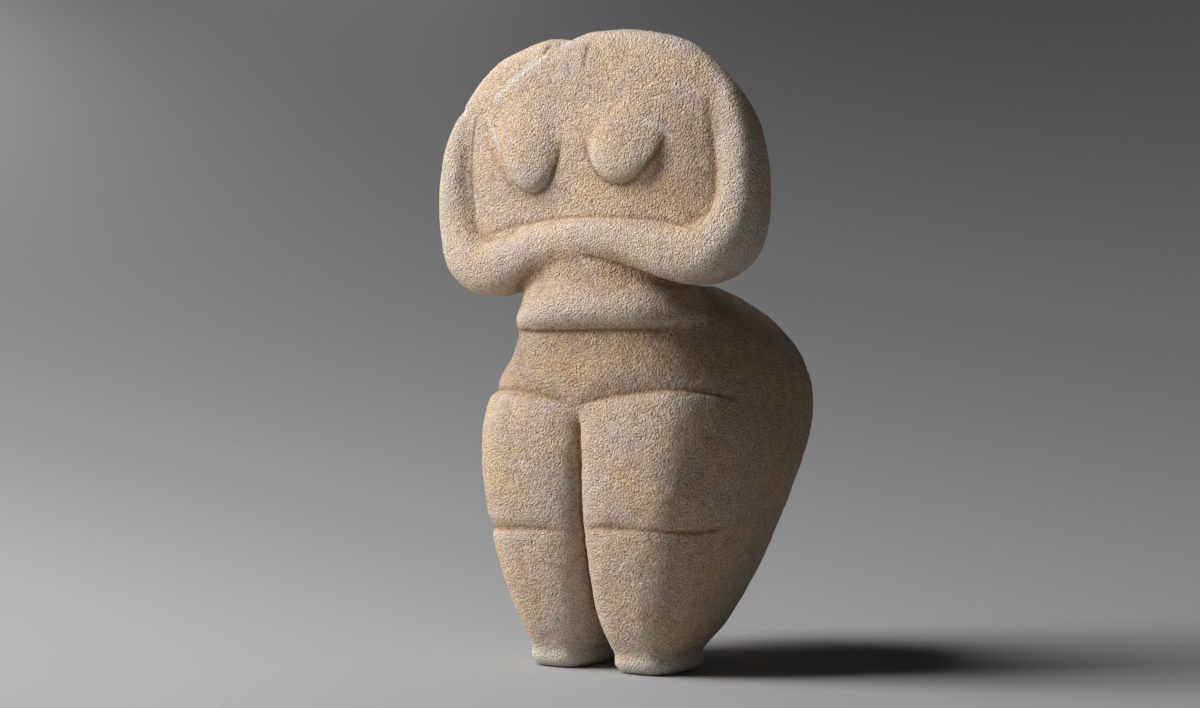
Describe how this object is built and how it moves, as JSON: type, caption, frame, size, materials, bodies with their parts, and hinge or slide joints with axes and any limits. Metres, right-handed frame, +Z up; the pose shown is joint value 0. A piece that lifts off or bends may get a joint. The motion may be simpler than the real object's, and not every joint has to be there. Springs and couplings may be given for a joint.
{
  "type": "marble female figurine",
  "caption": "Headless standing marble woman with folded arms, hanging breasts, a belly roll, heavy buttocks and thighs that taper to small flat-soled feet.",
  "frame": {"origin": "on the floor, below the middle of the bounding box, between the soles and the overhang of the buttocks", "axes": "+Z up along the body, -Y the way that the figure faces, +X towards the figure's own left"},
  "size_m": [0.1298, 0.1, 0.214],
  "materials": {
    "marble": "weathered, sugary grain"
  },
  "bodies": {
    "root": {"figurine": "marble"}
  },
  "joints": []
}
